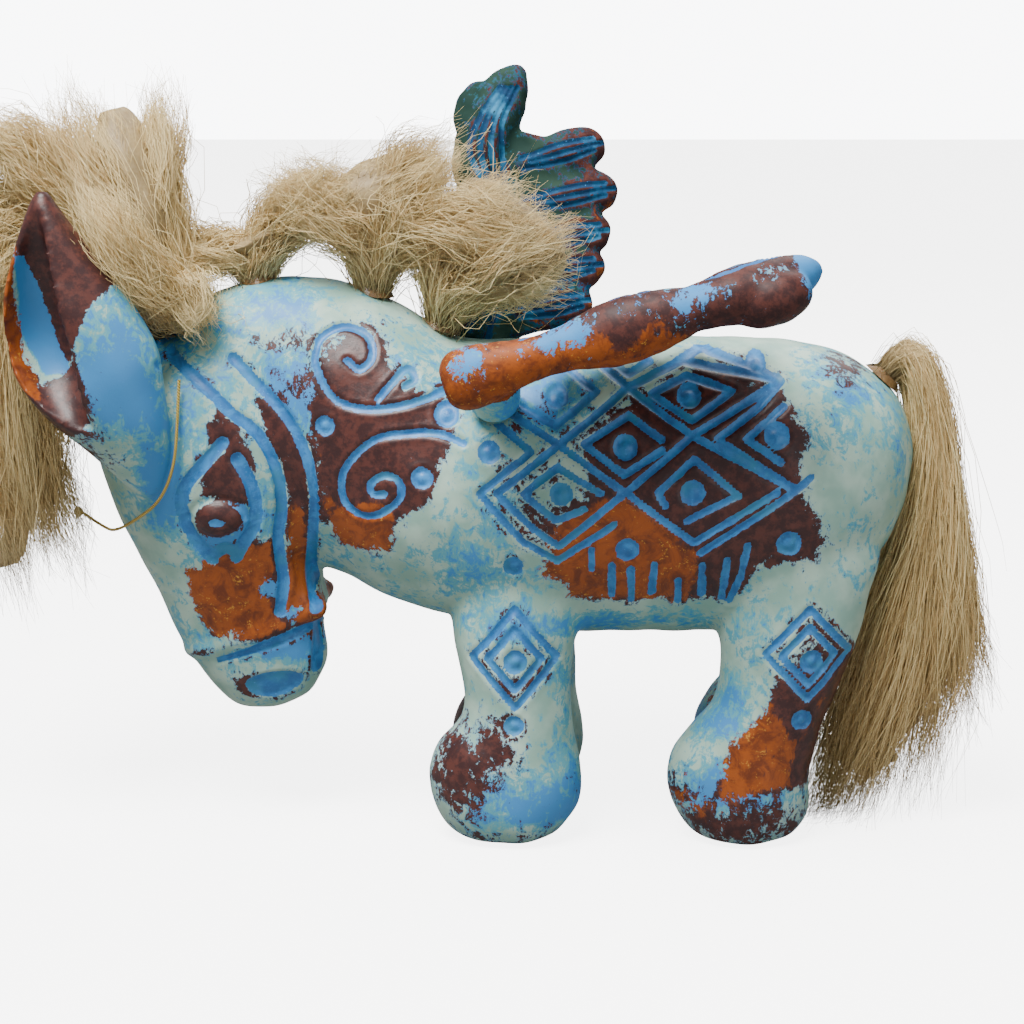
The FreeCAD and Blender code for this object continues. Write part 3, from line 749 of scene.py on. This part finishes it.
def carve_wing(node, paint):
    origin, along, finger, face = WINGS[node]
    along = unit(along)
    finger = unit(np.array(finger) - along * np.dot(finger, along))
    normal = np.cross(along, finger)
    obj = remeshed(node + "_skin", [node], WING_VOXEL)
    mesh = obj.data
    co = smoothed(coords(mesh), mesh, 9)
    set_coords(mesh, co)
    no = normals(mesh)
    mm = co / MM - ORIGIN - origin
    a = mm @ along
    f = mm @ finger
    h = mm @ normal * face
    out = (no @ normal) * face
    pts = np.stack([a, f], 1)
    d = stroke_distance(pts, wing_strokes())
    carved = smoothstep(out, 0.12, 0.4)
    depth = 0.8 * (1 - smoothstep(d, 0.15, 1.15)) * carved
    # shallow scores across the outer face and the leading edge
    back = smoothstep(-out, 0.1, 0.5)
    score = 0.35 * (1 - smoothstep(np.abs(((f + 0.12 * a) % 7.0) - 3.5), 0.2, 0.8)) * back * (f > 4)
    # the root end keeps the pinch marks of the fingers that shaped it
    wave = 0.35 * np.sin(a * 0.33 + 0.6) * np.sin(f * 0.3 + 1.1) + 0.22 * np.sin(a * 0.9 + f * 0.5)
    wave = wave + 0.25 * np.sin(a * 0.19) ** 2
    boss = mm[:, 2] < -4.5 if node == "left_wing" else mm[:, 2] < -3.0
    keep = np.where(boss & (np.abs(a) < 40), 0.0, 1.0)
    calm = 0.35 if node == "left_wing" else 0.5
    co = co + no * ((-depth - score + wave * calm) * keep * MM)[:, None]
    set_coords(mesh, co)
    soft = smoothed(co, mesh, 12)
    edge = np.clip(((co - soft) * no).sum(1) / (0.22 * MM), 0, 1.5)
    attach_attribute(mesh, "groove", (1 - smoothstep(d, 0.5, 1.35)) * carved)
    attach_attribute(mesh, "edge", edge)
    if node == "left_wing":
        # painted shade: the underside of the bar is worn a little further than its top, so the underside
        # reads darker
        painted_lit_top = smoothstep(h, 0.5, 4.0)
        on_top = blobs(np.stack([a, h], 1), [(12, 3, 12, 4, 0.75), (34, 6, 7, 3, 0.4), (52, 2, 8, 5, 0.75),
                                             (-14, 4, 6, 5, 0.6)])
        tip_blue = smoothstep(a, 76, 81)
        worn = 0.84 - 0.8 * on_top - 0.95 * tip_blue - 0.1 * painted_lit_top + 0.1 * np.sin(a * 0.23 + 1.1)
        rust = 0.5 * (1 - smoothstep(a + 2.2 * h, 0, 52)) + 0.1 * np.sin(a * 0.3 + 2.2) * (a < 60)
        blue = 0.2 + 0.4 * on_top + 0.6 * tip_blue
    else:
        worn = 0.1 + 0.34 * smoothstep(f, 10, 34) * smoothstep(a, 2, 40) + 0.2 * smoothstep(-a, -50,
                                                                                            0) * (f > 8)
        rust = 0.16 * smoothstep(f, 20, 40) * np.ones(len(a))
        blue = 0.08 + 0.18 * smoothstep(-a, -30, -5)
    plug = on_plug(mm + origin, node, 0.8)
    attach_attribute(mesh, "worn", np.where(plug, 0.0, worn))
    attach_attribute(mesh, "rust", np.where(plug, 0.0, rust))
    attach_attribute(mesh, "blue", np.where(plug, 0.2, blue))
    shade_smooth(mesh)
    mesh.materials.clear()
    mesh.materials.append(paint)
    # the plug end is painted with the body
    mesh.materials.append(BODY_PAINT)
    centre = np.empty(len(mesh.polygons) * 3, np.float32)
    mesh.polygons.foreach_get("center", centre)
    centre = centre.reshape(-1, 3) / MM - ORIGIN
    mesh.polygons.foreach_set("material_index", on_plug(centre, node).astype(np.int32))
    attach(obj, node)
    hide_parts(node)
    return obj


# ---------------------------------------------------------------- sisal
FIBRE_R = 0.1
HAIR_DENSITY = 2.2
FRIZZ = 1.9
STEPS = 12


def guide(points, t):
    """Catmull-Rom through the lock's points at the given shares of its length."""
    p = [np.asarray(q, float) for q in points]
    p = np.array([2 * p[0] - p[1]] + p + [2 * p[-1] - p[-2]])
    last = len(p) - 3
    s = np.clip(t * last, 0, last - 1e-6)
    i = s.astype(int)
    u = (s - i)[:, None]
    a, b, c, d = p[i], p[i + 1], p[i + 2], p[i + 3]
    return 0.5 * ((2 * b) + (c - a) * u + (2 * a - 5 * b + 4 * c - d) * u ** 2
                  + (3 * b - a - 3 * c + d) * u ** 3)


def lock_fibres(points, radii, count, curl, frizz, rng):
    """Fibres of one lock: (count, STEPS, 3) in mm, and each fibre's tone."""
    clumps = max(6, count // 26)
    clump_off = rng.normal(size=(clumps, 3))
    clump_off /= np.linalg.norm(clump_off, axis=1)[:, None]
    clump_off *= rng.uniform(0.2, 1.0, (clumps, 1)) ** 0.38
    clump_phase = rng.uniform(0, 2 * math.pi, (clumps, 3))
    clump_freq = rng.uniform(0.6, 1.9, (clumps, 3))
    clump_tone = rng.uniform(0.25, 1.0, clumps)
    which = rng.integers(0, clumps, count)
    reach = np.clip(rng.normal(0.96, 0.09, count), 0.55, 1.12)
    wild = rng.random(count) < 0.09
    own = rng.normal(size=(count, 3)) * np.where(wild, 0.42, 0.17)[:, None]
    phase = rng.uniform(0, 2 * math.pi, (count, 3))
    freq = rng.uniform(0.8, 2.8, (count, 3))
    knots = np.linspace(0, 1, len(radii))
    out = np.empty((count, STEPS, 3))
    for k in range(STEPS):
        share = k / (STEPS - 1) * reach
        centre = guide(points, np.clip(share, 0, 1))
        over = np.clip(share - 1, 0, None)[:, None]
        ahead = guide(points, np.ones(count)) - guide(points, np.full(count, 0.97))
        centre = centre + ahead * over * 33
        r = np.interp(np.clip(share, 0, 1), knots, radii)[:, None]
        t = share[:, None]
        sway = np.sin(clump_phase[which] + t * clump_freq[which] * 2 * math.pi) * curl * t
        own_wave = np.sin(phase + t * freq * 2 * math.pi) * frizz * t * np.where(wild, 2.4, 1.0)[:, None]
        out[:, k] = centre + r * (clump_off[which] * 0.85 + own) + sway + own_wave
    tone = np.clip(clump_tone[which] + rng.normal(0, 0.16, count), 0, 1)
    return out, tone


def fibre_mesh(name, paths, tones, radius):
    """Three-sided fibres, closed at both ends, as one mesh."""
    n, k, _ = paths.shape
    tangent = np.gradient(paths, axis=1)
    tangent /= np.maximum(np.linalg.norm(tangent, axis=2, keepdims=True), 1e-9)
    ref = np.where(np.abs(tangent[..., 2:3]) > 0.8, np.array([1.0, 0, 0]), np.array([0, 0, 1.0]))
    u = np.cross(tangent, ref)
    u /= np.maximum(np.linalg.norm(u, axis=2, keepdims=True), 1e-9)
    w = np.cross(tangent, u)
    taper = np.interp(np.linspace(0, 1, k), [0, 0.75, 1], [1.0, 1.0, 0.35])[None, :, None]
    rings = []
    for j in range(3):
        ang = 2 * math.pi * j / 3
        rings.append(paths + (u * math.cos(ang) + w * math.sin(ang)) * radius * taper)
    verts = np.stack(rings, 2).reshape(-1, 3)
    verts = (verts + ORIGIN) * MM
    base = (np.arange(n) * k * 3)[:, None, None]
    rows = (np.arange(k - 1) * 3)[None, :, None]
    j = np.arange(3)[None, None, :]
    j2 = (j + 1) % 3
    quads = np.stack([base + rows + j, base + rows + j2, base + rows + 3 + j2, base + rows + 3 + j],
                     3).reshape(-1, 4)
    start = (np.arange(n) * k * 3)[:, None]
    cap_a = start + np.array([[2, 1, 0]])
    cap_b = start + (k - 1) * 3 + np.array([[0, 1, 2]])
    loops = np.concatenate([quads.ravel(), cap_a.ravel(), cap_b.ravel()]).astype(np.int32)
    sizes = np.concatenate([np.full(len(quads), 4), np.full(2 * n, 3)])
    starts = np.concatenate([[0], np.cumsum(sizes)[:-1]]).astype(np.int32)
    mesh = bpy.data.meshes.new(name)
    mesh.vertices.add(len(verts))
    mesh.vertices.foreach_set("co", verts.astype(np.float32).ravel())
    mesh.loops.add(len(loops))
    mesh.loops.foreach_set("vertex_index", loops)
    mesh.polygons.add(len(sizes))
    mesh.polygons.foreach_set("loop_start", starts)
    mesh.update(calc_edges=True)
    mesh.validate()
    attach_attribute(mesh, "tone", np.repeat(tones, k * 3))
    attach_attribute(mesh, "along", np.tile(np.repeat(np.linspace(0, 1, k), 3), n))
    shade_smooth(mesh)
    return link(bpy.data.objects.new(name, mesh))


# locks: points in mm from the animal's middle, radii along the lock, fibres
POLL = (-96.5, 0, 151)
TUFTS = {
    "poll_tuft": [
        ([POLL, (-100, -8, 170), (-101, -9, 190), (-100, -8, 211)], [4.8, 7.6, 7.5, 5], 520),
        ([POLL, (-106, -12, 169), (-116, -14, 188), (-123, -12, 208)], [5.0, 9, 11, 9], 700),
        ([POLL, (-99, -16, 158), (-103, -32, 166), (-112, -40, 184)], [4.8, 8.2, 9, 6], 480),
        ([POLL, (-93, -8, 158), (-93, -17, 162), (-91, -26, 156)], [4.8, 6.4, 7, 6], 320),
        ([POLL, (-102, 10, 162), (-106, 24, 176), (-112, 30, 190)], [4.8, 8.2, 9, 6], 380),
        ([POLL, (-108, -4, 168), (-124, -6, 184), (-140, -6, 196)], [4.8, 8.2, 10, 8], 420),
    ],
    "forelock_tuft": [
        ([(-106, 0, 149), (-122, 0, 172), (-142, -2, 184), (-156, -4, 168), (-157, -4, 130), (-151, -2, 92)],
         [4.8, 8.2, 11, 12, 12, 9], 800),
        ([(-106, 0, 149), (-122, -4, 180), (-138, -8, 200), (-152, -10, 207)], [5.0, 9, 11, 9], 460),
        ([(-106, 0, 149), (-126, -6, 168), (-146, -14, 164), (-150, -16, 124), (-146, -14, 96)],
         [4.8, 8.2, 10, 11, 9], 560),
        ([(-106, 0, 149), (-126, 6, 168), (-150, 12, 165), (-154, 12, 128), (-150, 10, 96)],
         [4.8, 8.2, 10, 10, 8], 420),
        ([(-108, 0, 149), (-128, -4, 162), (-141, -9, 146), (-139, -10, 114), (-135, -8, 90)],
         [4.8, 7.6, 8, 9, 8], 460),
    ],
    "mane_tuft_1": [
        ([(-75, 0, 162), (-79, 0, 170), (-89, -3, 172), (-99, -6, 169)], [4.4, 6, 7, 4], 420),
        ([(-75, 0, 162), (-71, -2, 172), (-63, -4, 181), (-50, -6, 190)], [4.4, 6.4, 9, 9], 480),
        ([(-75, 0, 162), (-76, 3, 172), (-70, 8, 180), (-60, 10, 186)], [4.4, 6.4, 8, 7], 300),
    ],
    "mane_tuft_2": [
        ([(-41, 0, 160), (-44, -2, 173), (-52, -4, 184), (-64, -6, 191)], [4.6, 7.4, 11, 8], 480),
        ([(-41, 0, 160), (-39, -2, 176), (-34, -4, 190), (-22, -5, 199)], [4.6, 8.2, 11, 9], 560),
        ([(-41, 0, 160), (-34, -2, 174), (-20, -6, 180), (-2, -8, 176)], [4.6, 7.4, 11, 9], 480),
        ([(-41, 0, 160), (-40, 5, 176), (-36, 12, 188), (-24, 13, 194)], [4.6, 7.4, 9, 7], 320),
    ],
    "mane_tuft_3": [
        ([(-20.6, 0, 149.6), (-19, -2, 163), (-14, -4, 176), (-4, -5, 186)], [4.6, 8.2, 12, 9], 560),
        ([(-20.6, 0, 149.6), (-14, -3, 161), (-3, -6, 168), (10, -6, 174)], [4.6, 8.2, 12, 8], 560),
        ([(-20.6, 0, 149.6), (-15, -2, 159), (-5, -3, 162), (9, -4, 163)], [4.4, 5.6, 7, 6], 380),
        ([(-20.6, 0, 149.6), (-21, -2, 168), (-27, -4, 180), (-36, -5, 187)], [4.6, 7.4, 10, 8], 380),
        ([(-20.6, 0, 149.6), (-17, 4, 164), (-9, 9, 174), (3, 10, 180)], [4.6, 7.4, 10, 7], 320),
    ],
    "tail_tuft": [
        ([(110, 0, 134), (118, 0, 140.6), (124, -1, 122), (124, -3, 90), (115, -5, 50), (104, -5, 9)],
         [3.4, 4.6, 5.6, 8, 12, 13], 800),
        ([(110, 0, 134), (118, 0, 140), (123, -1, 122), (120, -3, 90), (107, -5, 50), (95, -6, 10)],
         [3.0, 4.2, 5, 6.4, 9, 8], 520),
        ([(110, 0, 134), (118, 0, 140), (125, -1, 122), (128, -3, 92), (128, -4, 58), (124, -5, 24)],
         [3.0, 4.4, 5.4, 7, 11, 10], 620),
        ([(110, 0, 134), (118, 0, 140), (125, -1, 122), (129, -2, 92), (134, -3, 66), (139, -4, 42)],
         [3.0, 4.2, 5, 6, 8, 7], 420),
        ([(110, 0, 134), (118, 0, 140), (124, 2, 122), (125, 6, 92), (119, 12, 54), (112, 14, 14)],
         [3.0, 4.2, 5, 6, 10, 10], 380),
    ],
}


def make_tuft(node, material, core_shade_material):
    rng = np.random.default_rng(1000 + sorted(TUFTS).index(node))
    paths = []
    tones = []
    curl = 4.0 if node in ("tail_tuft", "forelock_tuft") else 3.4
    for points, radii, count in TUFTS[node]:
        p, tone = lock_fibres(points, radii, int(count * HAIR_DENSITY), curl, FRIZZ, rng)
        paths.append(p)
        tones.append(tone)
    paths = np.concatenate(paths)
    tones = np.concatenate(tones)
    low = CAD_LO.z / MM + 0.6
    paths[..., 2] = np.maximum(paths[..., 2], low)
    obj = fibre_mesh(node + "_fibres", paths, tones, FIBRE_R)
    obj.data.materials.append(material)
    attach(obj, "shell")
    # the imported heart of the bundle, just inside the fibres
    core = remeshed(node + "_core", [node], CORE_VOXEL)
    mesh = core.data
    co = smoothed(coords(mesh), mesh, 6)
    set_coords(mesh, co)
    no = normals(mesh)
    mm = co / MM
    ridges = 0.5 * np.sin(mm[:, 2] * 0.31 + 4 * no[:, 1]) * np.sin(mm[:, 0] * 0.43 + mm[:, 2] * 0.12)
    depth = 4.6 + (8.0 * (1 - smoothstep(mm[:, 2], 50, 90)) if node == "tail_tuft" else 0.0)
    co = co + no * ((ridges - depth) * MM)[:, None]
    set_coords(mesh, smoothed(co, mesh, 4))
    # painted shade and light on the core: its tone follows the ridges, darker in the furrows and paler on the
    # ridges
    attach_attribute(mesh, "tone", np.clip(0.35 + 0.5 * ridges, 0, 1))
    attach_attribute(mesh, "along", np.full(len(co), 0.2))
    shade_smooth(mesh)
    # the core takes the darker sisal, painted shade of the bundle's inside
    mesh.materials.clear()
    mesh.materials.append(core_shade_material)
    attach(core, "shell")
    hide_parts(node)
    return obj


# ---------------------------------------------------------------- small things
def thread_material():
    s = Shader("gold_thread")
    twist = s.tree.nodes.new("ShaderNodeTexWave")
    twist.inputs["Scale"].default_value = 520.0
    twist.inputs["Distortion"].default_value = 0.6
    s.put(twist.inputs["Vector"], s.stretch((1.0, 1.0, 1.0), (0.6, 0.7, 0.5)))
    fac = twist.outputs["Fac"]
    # painted shade and light on the twist: darker gold in its grooves, paler gold on its ridges, from the
    # same field as the bump
    colour = s.mix(fac, rgb("8A6A1C"), rgb("E6C868"))
    s.bump(fac, 0.8, 0.0002)
    return s.finish(colour, 0.38, Metallic=0.35)


def glue_material():
    s = Shader("amber_glue")
    n = s.noise(500, 3, 0.6)
    colour = s.mix(n, rgb("4A3218"), rgb("8E6C3C"))
    s.bump(s.noise(700, 4, 0.7), 0.8, 0.0009)
    return s.finish(colour, s.math("ADD", s.math("MULTIPLY", n, 0.25), 0.3), Coat_Weight=0.15)


def wood_material():
    s = Shader("dowel_wood")
    grain = s.noise(300, 5, 0.6, 0.5, s.stretch((0.25, 1.0, 1.0), (0.66, 0, 0)))
    colour = s.mix(s.step(grain, 0.35, 0.7), rgb("8E6A3E"), rgb("CBA874"))
    s.bump(grain, 0.4, 0.0002)
    return s.finish(colour, s.math("ADD", s.math("MULTIPLY", grain, 0.2), 0.5))


FLOOR_HALF = 4.0
FLOOR_GAP = 0.0002


def plain_floor():
    bm = bmesh.new()
    corners = [bm.verts.new((x * FLOOR_HALF, y * FLOOR_HALF, CAD_LO.z - FLOOR_GAP)) for x,
               y in ((-1, -1), (1, -1), (1, 1), (-1, 1))]
    bm.faces.new(corners)
    mesh = bpy.data.meshes.new("studio_floor")
    bm.to_mesh(mesh)
    bm.free()
    obj = link(bpy.data.objects.new("studio_floor", mesh))
    s = Shader("pale_floor")
    # the camera sees it pale; what it throws back up at the belly is dimmer
    seen = s.tree.nodes.new("ShaderNodeLightPath").outputs["Is Camera Ray"]
    pale = s.mix(s.noise(3, 2), (0.93, 0.93, 0.93), (0.95, 0.95, 0.95))
    s.put(s.bsdf.inputs["Emission Color"], (1.0, 1.0, 1.0))
    s.put(s.bsdf.inputs["Emission Strength"], s.math("MULTIPLY", seen, FLOOR_GLOW))
    mesh.materials.append(s.finish(s.mix(seen, (0.22, 0.22, 0.22), pale), 0.9))


def give(node, material):
    obj = frame["nodes"][node]
    obj.data.materials.clear()
    obj.data.materials.append(material)


thread = route_curve("tag_thread_line", THREAD, THREAD_R * MM)
thread_gold = thread_material()
thread.data.materials.append(thread_gold)
give("thread_knot", thread_gold)
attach(thread, "shell")
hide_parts("tag_thread")

BODY_PAINT = painted_clay("scraped_paint", MINT, SAGE, 0.05, 0.0, SKY)
carve_body()
NEAR_PAINT = painted_clay("scraped_rusty_paint", rgb("7C9CA6"), rgb("5E8496"), 0.05, 0.0, DEEP_BLUE,
                           gloss=0.26, matte=0.14)
FAR_PAINT = painted_clay("scraped_teal_paint", rgb("1E3630"), rgb("2C443A"), -0.05, 0.0, rgb("1A4A6E"),
                         (rgb("235460"), rgb("235482")), rgb("1A3A5C"), gloss=0.12, matte=0.3)
carve_wing("left_wing", NEAR_PAINT)
carve_wing("right_wing", FAR_PAINT)
SISAL = sisal_material("sisal_fibre", rgb("F6E0A4"), rgb("B88C46"))
# darker sisal for the heart of each bundle: painted shade, the shade deep inside the bundle
SISAL_SHADED_CORE = sisal_material("sisal_heart_painted_shade", rgb("9C8352"), rgb("6A5228"))
for tuft in TUFTS:
    make_tuft(tuft, SISAL, SISAL_SHADED_CORE)
GLUE = glue_material()
for node in frame["nodes"]:
    if node.endswith("_glue") or "_glue_" in node:
        give(node, GLUE)
WOOD = wood_material()
give("left_wing_dowel", WOOD)
give("right_wing_dowel", WOOD)
plain_floor()
